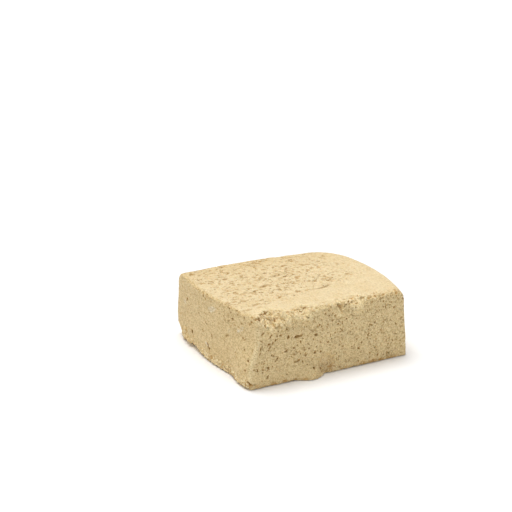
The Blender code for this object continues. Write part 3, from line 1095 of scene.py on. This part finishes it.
def surface_net(block):
    """The zero level of a grid of outward distances, as points in metres and quads."""
    inside = block < 0
    filled = np.zeros(tuple(np.array(block.shape) - 1), np.int8)
    nx, ny, nz = filled.shape
    for i, j, k in itertools.product((0, 1), repeat=3):
        filled += inside[i : i + nx, j : j + ny, k : k + nz]
    cells = np.argwhere((filled > 0) & (filled < 8))
    number = np.full(filled.shape, -1)
    number[tuple(cells.T)] = np.arange(len(cells))
    quads = []
    for axis in range(3):
        step = np.eye(3, dtype=int)[axis]
        side_a, side_b = np.eye(3, dtype=int)[[(axis + 1) % 3, (axis + 2) % 3]]
        low = inside[tuple(slice(0, n - s) for n, s in zip(inside.shape, step))]
        high = inside[tuple(slice(s, n) for n, s in zip(inside.shape, step))]
        edges = np.argwhere(low != high)
        edges = edges[(edges @ (side_a + side_b) > 0) & (edges @ side_a > 0) & (edges @ side_b > 0)]
        leaving = low[tuple(edges.T)]
        ring = [edges - side_a - side_b, edges - side_b, edges, edges - side_a]
        around = np.stack([number[tuple(corner.T)] for corner in ring], axis=1)
        around[~leaving] = around[~leaving, ::-1]
        quads.append(around)
    points = GRID_LOW + net_points(block, cells) * VOXEL
    return points, np.concatenate(quads)


def largest_body(points, quads):
    """Drops every scrap that isn't joined to the largest body."""
    label = np.arange(len(points))
    pairs = np.concatenate([quads[:, [0, 1]], quads[:, [1, 2]], quads[:, [2, 3]]])
    while True:
        lowest = np.minimum(label[pairs[:, 0]], label[pairs[:, 1]])
        before = label.copy()
        np.minimum.at(label, pairs[:, 0], lowest)
        np.minimum.at(label, pairs[:, 1], lowest)
        label = label[label]
        if (label == before).all():
            break
    main = np.bincount(label[quads[:, 0]]).argmax()
    quads = quads[label[quads[:, 0]] == main]
    used, index = np.unique(quads, return_inverse=True)
    return points[used], index.reshape(-1, 4)


def sampled(grid, points):
    """A grid's values at points, between its cells' corners."""
    place = (points - GRID_LOW) / VOXEL
    cells = np.clip(np.floor(place).astype(int), 0, np.array(grid.shape) - 2)
    within = np.clip(place - cells, 0, 1)
    total = np.zeros(len(points))
    for corner, value in corner_values(grid, cells).items():
        total += value * np.prod(np.where(corner, within, 1 - within), axis=1)
    return total


def thinned(mesh):
    """The mesh with its flat stretches in larger triangles, down to the most that it may keep."""
    holder = bpy.data.objects.new("thinning", mesh)
    bpy.context.scene.collection.objects.link(holder)
    thinning = holder.modifiers.new("thinning", "DECIMATE")
    thinning.ratio = MOST_TRIANGLES / (2 * len(mesh.polygons))
    graph = bpy.context.evaluated_depsgraph_get()
    thin = bpy.data.meshes.new_from_object(holder.evaluated_get(graph))
    bpy.data.objects.remove(holder)
    return thin


def patches(first, second, rows):
    """How strongly soft-edged patches mark each place of a face."""
    strongest = np.zeros_like(first)
    for middle_first, middle_second, half_length, half_width, lean, strength in rows:
        from_first = first - middle_first * MM
        from_second = second - middle_second * MM
        turn = math.radians(lean)
        along = (from_first * math.cos(turn) + from_second * math.sin(turn)) / (half_length * MM)
        across = (from_second * math.cos(turn) - from_first * math.sin(turn)) / (half_width * MM)
        strongest = np.maximum(strongest, strength * hump(np.hypot(along, across), 1))
    return strongest


def hole_shade_marks(first, second, rows):
    """Painted shade where the largest pores of a face lie, a little wider than they are and darker where
    deep.
    """
    marks = []
    for s, t, half_length, half_width, depth, lean in rows:
        strength = min(1.0, HOLE_SHADE_LEAST + HOLE_SHADE_BY_DEPTH * depth)
        size = (HOLE_SHADE_LONGER * half_length, HOLE_SHADE_WIDER * half_width)
        marks.append((s, t, *size, lean, strength))
    return patches(first, second, marks)


def top_pores():
    """The named pores of the top, and its largest pit given as they are."""
    (x, y, _), (half_x, half_y, depth) = np.array(LARGEST_TOP_PIT) / MM
    return [*TOP_PORES, (x, y, half_x, half_y, depth, 0)]


def surface_marks(x, y, z):
    """What the materials need to know at each place on the block, from 0 to 1."""
    from_knife = np.abs(x - knife_cut_x(y, z))
    from_porous = np.abs(y - porous_cut_y(x, z))
    sizes = bite_sizes(x, EDGE_BITES, UNBROKEN_EDGE)
    slant = slanting_cut(y - porous_cut_y(x, z), HEIGHT - z, sizes)
    knife = faded(from_knife, KNIFE_FADE)
    near_knife = faded(from_knife, KNIFE_SHADE_FADE)
    porous = faded(from_porous, POROUS_FADE) * (1 - knife)
    at_top = faded(HEIGHT - z, TOP_FADE)
    near_top = faded(HEIGHT - z, RIM_FADE)
    bitten = smooth_step(sizes[0], *BITTEN_FROM)
    from_arc, opening = crack_line(x, y)
    # Painted shade in the named pores, in the gaps along the rim of the bites and in the crack
    hole_shades = (
        near_knife * hole_shade_marks(y, z, knife_pores()),
        POROUS_HOLE_SHADE * porous * hole_shade_marks(x, z, porous_pores()),
        RIM_HOLE_SHADE * near_top * hole_shade_marks(x, y, RIM_PORES),
        TOP_HOLE_SHADE * at_top * hole_shade_marks(x, y, top_pores()),
        CRACK_SHADE * at_top * opening * hump(from_arc, CRACK_SHADE_WIDER * CRACK_HALF_WIDTH),
    )
    # Painted highlights where the near corner and the bites' lower edge catch the light
    corner_highlight = hump(np.hypot(from_knife, from_porous), CORNER_HIGHLIGHT_REACH)
    bite_highlight = bitten * hump(np.hypot(from_porous - BITE_HIGHLIGHT_IN, slant), BITE_HIGHLIGHT_REACH)
    torn_top = top_share(x, y) * (TORN_BELOW_TOP + (1 - TORN_BELOW_TOP) * at_top)
    # Painted warm amber shade at both cuts' feet
    porous_amber_shade = porous * patches(x, z, AMBER_SHADE_MARKS)
    knife_amber_shade = near_knife * patches(y, z, KNIFE_AMBER_SHADE_MARKS)
    return {
        "knife": knife,
        "porous": porous,
        "crumbs": bitten * smooth_step(slant, *CRUMBS_FROM),
        # Painted warm shade along the bottom of the block
        "foot": faded(z, FOOT_SHADE_FADE),
        "back": smooth_step(y, *BACK_FROM),
        "torn": torn_top * (1 - porous) + porous_share(x, z) * porous,
        # Painted shade in the named holes, the rim gaps and the crack
        "hole": np.maximum.reduce(hole_shades),
        # Painted highlight along the crests
        "crest_highlight": np.maximum(corner_highlight, bite_highlight),
        "pale": knife * patches(y, z, PALE_MARKS),
        # Painted warm amber shade at the feet
        "amber": np.maximum(porous_amber_shade, knife_amber_shade),
    }


def mark_surfaces(mesh, plain):
    """Stores at each vertex how deep in a pore it lies, in millimetres, and its surface's marks."""
    points = np.empty(len(mesh.vertices) * 3, np.float32)
    mesh.vertices.foreach_get("co", points)
    points = points.reshape(-1, 3).astype(float)
    marks = surface_marks(*points.T)
    marks["pore_depth"] = np.clip(-sampled(plain, points) / MM, 0, DEEPEST_MARK_MM)
    for name, values in marks.items():
        mark = mesh.attributes.new(name, "FLOAT", "POINT")
        mark.data.foreach_set("value", values.astype(np.float32))


def block_mesh(body):
    fill_edge_bites(body)
    carve_scattered_pores(body)
    crumble_feet(body)
    carve_largest_pores(body)
    points, quads = largest_body(*surface_net(np.maximum(body.form, -Z)))
    mesh = bpy.data.meshes.new("halva")
    mesh.from_pydata(points, [], quads.tolist())
    mesh = thinned(mesh)
    mesh.name = "halva"
    mark_surfaces(mesh, body.plain)
    mesh.shade_smooth()
    return mesh


def linear(colour):
    """An 8-bit display colour as the linear values that a shader takes."""
    shares = [value / 255 for value in colour]
    return [s / 12.92 if s <= 0.04045 else ((s + 0.055) / 1.055) ** 2.4 for s in shares] + [1]


class Nodes:
    """Short ways to add and join a material's nodes."""

    def __init__(self, material):
        material.use_nodes = True
        self.tree = material.node_tree
        self.shader = self.tree.nodes["Principled BSDF"]

    def add(self, kind, **settings):
        node = self.tree.nodes.new(kind)
        for name, value in settings.items():
            setattr(node, name, value)
        return node

    def join(self, output, socket):
        self.tree.links.new(output, socket)

    def feed(self, socket, value):
        if isinstance(value, bpy.types.NodeSocket):
            self.join(value, socket)
        else:
            socket.default_value = value

    def mark(self, name):
        return self.add("ShaderNodeAttribute", attribute_name=name).outputs["Fac"]

    def calculate(self, operation, *values, clamp=False):
        node = self.add("ShaderNodeMath", operation=operation, use_clamp=clamp)
        for socket, value in zip(node.inputs, values):
            self.feed(socket, value)
        return node.outputs[0]

    def times(self, first, second):
        return self.calculate("MULTIPLY", first, second)

    def times_plus(self, first, second, added):
        return self.calculate("MULTIPLY_ADD", first, second, added)

    def rest(self, share):
        """What is left of 1 beside a share."""
        return self.calculate("SUBTRACT", 1.0, share)

    def blend(self, share, first, second):
        """The first value where share is 0, the second where it is 1."""
        return self.times_plus(share, self.calculate("SUBTRACT", second, first), first)

    def pattern(self, kind, size, stretch):
        """A random pattern of a size, fixed to the object, finer where stretch is over 1."""
        mapping = self.add("ShaderNodeMapping")
        mapping.inputs["Scale"].default_value = stretch
        self.join(self.add("ShaderNodeTexCoord").outputs["Object"], mapping.inputs["Vector"])
        pattern = self.add(kind)
        pattern.inputs["Scale"].default_value = 1 / size
        self.join(mapping.outputs["Vector"], pattern.inputs["Vector"])
        return pattern

    def noise(self, size, detail=3, roughness=0.55, stretch=(1, 1, 1)):
        noise = self.pattern("ShaderNodeTexNoise", size, stretch)
        noise.inputs["Detail"].default_value = detail
        noise.inputs["Roughness"].default_value = roughness
        return noise.outputs["Fac"]

    def between(self, value, low, high):
        """0 where the value is low, 1 where it is high, and smooth between."""
        node = self.add("ShaderNodeMapRange", interpolation_type="SMOOTHSTEP")
        self.feed(node.inputs["Value"], value)
        node.inputs["From Min"].default_value = low
        node.inputs["From Max"].default_value = high
        return node.outputs["Result"]

    def mix(self, share, first, second, blend="MIX"):
        node = self.add("ShaderNodeMix", data_type="RGBA", blend_type=blend)
        self.feed(node.inputs["Factor"], share)
        self.feed(node.inputs["A"], first)
        self.feed(node.inputs["B"], second)
        return node.outputs["Result"]

    def tinted(self, colour, share, most, tint):
        """The colour turned to a tint where share is high, and by so much at most."""
        return self.mix(self.times(share, most), colour, linear(tint))


def spots(nodes, spacing, width, filled):
    """1 in small round spots at random places, 0 between them; filled is the share of them kept."""
    cells = nodes.pattern("ShaderNodeTexVoronoi", spacing, (1, 1, 1))
    near = nodes.rest(nodes.between(cells.outputs["Distance"], 0.4 * width, width))
    channels = nodes.add("ShaderNodeSeparateColor")
    nodes.join(cells.outputs["Color"], channels.inputs["Color"])
    kept = nodes.between(channels.outputs["Red"], 1 - filled, 1.1 - filled)
    return nodes.times(near, kept)


def paste_colour(nodes, porous, knife):
    """The paste's colour: creamy on top and softly mottled; the darker tan of the cut faces is partly
    their own tone and partly painted shade of the shaded sides.
    """
    mottle = nodes.between(nodes.noise(7 * MM, detail=4), 0.38, 0.68)
    streaks = nodes.between(nodes.noise(2.6 * MM, stretch=(0.4, 1, 1)), 0.42, 0.7)
    colour = nodes.tinted(linear(CREAM), mottle, 0.4, DEEP_CREAM)
    colour = nodes.tinted(colour, streaks, 0.3, DEEP_CREAM)
    colour = nodes.tinted(colour, nodes.mark("back"), 0.7, DEEP_CREAM)
    # Deeper tan on the cut faces: partly their own tone, partly painted shade
    colour = nodes.tinted(colour, porous, 0.85, POROUS_TAN_AND_SHADE)
    return nodes.tinted(colour, knife, 0.85, KNIFE_TAN_AND_SHADE)


def marked_colour(nodes, colour, on_cuts):
    """Pale crumbs, painted highlights along the crests, smears and flecks, and painted warm amber shade
    at the feet.
    """
    crumb_patches = nodes.between(nodes.noise(1.3 * MM, detail=1), 0.42, 0.58)
    colour = nodes.tinted(colour, nodes.times(nodes.mark("crumbs"), crumb_patches), 0.6, CRUMB_WHITE_AND_HIGHLIGHT)
    # A painted highlight along the crests of the near corner and the bites
    colour = nodes.tinted(colour, nodes.mark("crest_highlight"), 0.85, CRUMB_WHITE_AND_HIGHLIGHT)
    broken = nodes.between(nodes.noise(1.1 * MM, detail=2), 0.3, 0.6)
    pale = nodes.times(nodes.between(nodes.mark("pale"), 0.0, 0.5), broken)
    colour = nodes.tinted(colour, pale, 0.9, PALE_GREY)
    flecks = nodes.times(spots(nodes, spacing=1.7 * MM, width=0.34, filled=0.5), on_cuts)
    colour = nodes.tinted(colour, flecks, 0.35, CRUMB_WHITE_AND_HIGHLIGHT)
    # Painted warm amber shade: in patches along the bottom of the block and in the marked places at both
    # cuts' feet
    foot_shade_patches = nodes.between(nodes.noise(3 * MM, detail=2), 0.5, 0.66)
    foot = nodes.times(nodes.mark("foot"), foot_shade_patches)
    amber_shade_patches = nodes.between(nodes.noise(1.3 * MM, detail=2), 0.36, 0.56)
    amber_shade_spots = nodes.times(nodes.mark("amber"), amber_shade_patches)
    amber = nodes.calculate("MAXIMUM", amber_shade_spots, nodes.times(foot, 0.7))
    return nodes.tinted(colour, amber, 0.8, FOOT_SHADE_AMBER)


def ragged_spots(nodes, size, stretch, rarity):
    """1 in crisp, ragged spots that crowd together here and there, 0 between them."""
    ragged = nodes.noise(size, roughness=0.6, stretch=stretch)
    crowding = nodes.times_plus(nodes.noise(5 * size, detail=1, stretch=stretch), 0.3, -0.15)
    return nodes.between(nodes.calculate("ADD", ragged, crowding), rarity, rarity + 0.03)


def small_pits(nodes, porous, knife):
    """Pits too small for the mesh: many on the porous cut, flat ones on the moulded sides."""
    ragged = ragged_spots(nodes, 0.65 * MM, stretch=(1, 1, 1), rarity=0.63)
    round_pits = spots(nodes, spacing=1.2 * MM, width=0.28, filled=0.4)
    cut_pits = nodes.calculate("MAXIMUM", ragged, round_pits)
    top_pits = nodes.times(ragged_spots(nodes, 1.1 * MM, stretch=(0.6, 0.6, 1), rarity=0.59), 0.85)
    dots = nodes.times(spots(nodes, spacing=1.7 * MM, width=0.24, filled=0.6), knife)
    on_cuts = nodes.times_plus(cut_pits, nodes.times(porous, nodes.mark("torn")), dots)
    elsewhere = nodes.rest(nodes.calculate("ADD", porous, knife, clamp=True))
    torn_elsewhere = nodes.times(elsewhere, nodes.mark("torn"))
    pits = nodes.times_plus(top_pits, torn_elsewhere, on_cuts)
    return nodes.times(pits, nodes.times_plus(nodes.mark("crumbs"), -0.8, 1.0))


def grained(nodes, colour, strength, porous):
    """The colour with a fine grain: mostly light, with small brown dots between."""
    drawn_out = nodes.noise(0.6 * MM, detail=1, roughness=0.6, stretch=(1, 0.5, 1))
    even = nodes.noise(0.5 * MM, detail=1, roughness=0.6)
    fine = nodes.between(nodes.blend(porous, drawn_out, even), 0.34, 0.54)
    coarse = nodes.between(nodes.noise(1.1 * MM, detail=1, roughness=0.6), 0.3, 0.6)
    light = nodes.times(fine, nodes.times_plus(coarse, 0.6, 0.4))
    dark = nodes.rest(light)
    return nodes.mix(nodes.times(dark, strength), colour, linear(GRAIN_SHADE), "MULTIPLY")


def fine_bump(nodes, shown_pits, knife):
    """The finest unevenness, a little smoother on the knife cut, with the small pits in it."""
    bump = nodes.add("ShaderNodeBump")
    bump.inputs["Strength"].default_value = 1.0
    bump.inputs["Distance"].default_value = 0.3 * MM
    smeared = nodes.times_plus(knife, -0.2, 1.0)
    fine = nodes.times(nodes.noise(0.8 * MM, roughness=0.65), smeared)
    height = nodes.calculate("SUBTRACT", fine, nodes.times(shown_pits, 0.8))
    nodes.join(height, bump.inputs["Height"])
    return bump.outputs["Normal"]


def paste_finish(shader):
    """Matt with a faint oily gloss; light goes a little way into it."""
    shader.inputs["Roughness"].default_value = 0.62
    shader.inputs["Specular IOR Level"].default_value = 0.3
    shader.inputs["Subsurface Weight"].default_value = 0.06
    shader.inputs["Subsurface Radius"].default_value = (1.0, 0.6, 0.3)
    shader.inputs["Subsurface Scale"].default_value = 0.6 * MM


def with_painted_pore_shade(nodes, colour, shown_pits, on_cuts):
    """Painted warm shade: brown in the pores and pits, and darker still in the deepest, in the named
    holes and in the crack.
    """
    deep_shade = nodes.between(nodes.mark("pore_depth"), 0.05, 0.6)
    strength = nodes.times_plus(on_cuts, 0.2, 0.4)
    colour = nodes.mix(nodes.times(deep_shade, strength), colour, linear(PORE_SHADE_BROWN))
    colour = nodes.tinted(colour, shown_pits, 0.6, PORE_SHADE_BROWN)
    deepest_shade = nodes.between(nodes.mark("pore_depth"), 0.6, 1.2)
    deepest_shade = nodes.times(deepest_shade, nodes.times_plus(on_cuts, 0.25, 0.3))
    return nodes.tinted(colour, nodes.calculate("MAXIMUM", deepest_shade, nodes.mark("hole")), 0.9, HOLE_SHADE_BROWN)


def halva_material():
    """The block's paste. The grain is stronger on both cuts than on the moulded sides."""
    material = bpy.data.materials.new("halva_paste")
    nodes = Nodes(material)
    porous = nodes.mark("porous")
    knife = nodes.mark("knife")
    on_cuts = nodes.calculate("ADD", porous, knife, clamp=True)
    shown_pits = small_pits(nodes, porous, knife)
    colour = marked_colour(nodes, paste_colour(nodes, porous, knife), on_cuts)
    # Painted warm shade in the pores, pits, holes and crack
    colour = with_painted_pore_shade(nodes, colour, shown_pits, on_cuts)
    grain = nodes.times_plus(on_cuts, 0.25, 0.32)
    nodes.join(grained(nodes, colour, grain, porous), nodes.shader.inputs["Base Color"])
    nodes.join(fine_bump(nodes, shown_pits, knife), nodes.shader.inputs["Normal"])
    paste_finish(nodes.shader)
    return material


def crumb_material():
    """Loose crumbs: each from creamy to nearly white, with a fine grain."""
    material = bpy.data.materials.new("halva_crumb")
    nodes = Nodes(material)
    colour = nodes.mix(nodes.mark("tint"), linear(CREAM), linear(CRUMB_WHITE_AND_HIGHLIGHT))
    nodes.join(grained(nodes, colour, 0.25, 0.0), nodes.shader.inputs["Base Color"])
    nodes.join(fine_bump(nodes, 0.0, 0.0), nodes.shader.inputs["Normal"])
    paste_finish(nodes.shader)
    return material


def make_piece(name, mesh, material):
    mesh.materials.clear()
    mesh.materials.append(material)
    piece = bpy.data.objects.new(name, mesh)
    bpy.context.scene.collection.objects.link(piece)
    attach(piece, "root")
    return piece


def make_halva():
    body = Body()
    crumbs = loose_crumb_mesh(body)
    block = make_piece("halva", block_mesh(body), halva_material())
    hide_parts("halva_block")
    make_piece("halva_crumbs", crumbs, crumb_material())


def plain_material(name, colour, roughness):
    material = bpy.data.materials.new(name)
    nodes = Nodes(material)
    nodes.shader.inputs["Base Color"].default_value = linear(colour)
    nodes.shader.inputs["Roughness"].default_value = roughness
    return material


def make_floor():
    half = FLOOR_HALF_SIZE
    corners = [(-half, -half, 0), (half, -half, 0), (half, half, 0), (-half, half, 0)]
    mesh = bpy.data.meshes.new("floor")
    mesh.from_pydata(corners, [], [(0, 1, 2, 3)])
    mesh.materials.append(plain_material("floor_white", FLOOR_WHITE, FLOOR_ROUGHNESS))
    floor = bpy.data.objects.new("floor", mesh)
    bpy.context.scene.collection.objects.link(floor)
    floor.location.z = -FLOOR_DROP
    floor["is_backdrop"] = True


def make_light():
    """One broad soft light from above, a little behind and to the left, and a pale surrounding."""
    data = bpy.data.lights.new("broad_light", "SUN")
    data.angle = math.radians(LIGHT_SPREAD_DEGREES)
    data.energy = LIGHT_STRENGTH
    light = bpy.data.objects.new("broad_light", data)
    light.rotation_euler = Vector(LIGHT_COMES_FROM).to_track_quat("Z", "Y").to_euler()
    bpy.context.scene.collection.objects.link(light)
    world = bpy.data.worlds.new("studio")
    world.use_nodes = True
    background = world.node_tree.nodes["Background"]
    background.inputs["Color"].default_value = (1, 1, 1, 1)
    background.inputs["Strength"].default_value = SURROUNDING_STRENGTH
    bpy.context.scene.world = world
    bpy.context.scene.view_settings.view_transform = "Standard"


def make_camera():
    azimuth = math.radians(CAMERA_AZIMUTH_DEGREES)
    elevation = math.radians(CAMERA_ELEVATION_DEGREES)
    right = Vector((math.cos(azimuth), math.sin(azimuth), 0))
    level_back = Vector((math.sin(azimuth), -math.cos(azimuth), 0))
    back = level_back * math.cos(elevation) + Vector((0, 0, math.sin(elevation)))
    up = back.cross(right)
    data = bpy.data.cameras.new("camera")
    data.sensor_width = SENSOR_WIDTH_MM
    data.lens = FOCAL_LENGTH_MM
    data.clip_start = CLIP_START
    camera = bpy.data.objects.new("camera", data)
    turn = Matrix((right, up, back)).transposed().to_4x4()
    place = back * CAMERA_DISTANCE + right * CAMERA_PAN_RIGHT + up * CAMERA_PAN_UP
    camera.matrix_world = Matrix.Translation(place) @ turn
    bpy.context.scene.collection.objects.link(camera)
    bpy.context.scene.camera = camera


def write_sizes():
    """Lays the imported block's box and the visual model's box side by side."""
    boxes = {"cad_box": PACKED_BOX, "visual_box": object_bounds()}
    sizes = {name: [list(corner) for corner in box] for name, box in boxes.items()}


make_halva()
make_floor()
make_light()
make_camera()
write_sizes()
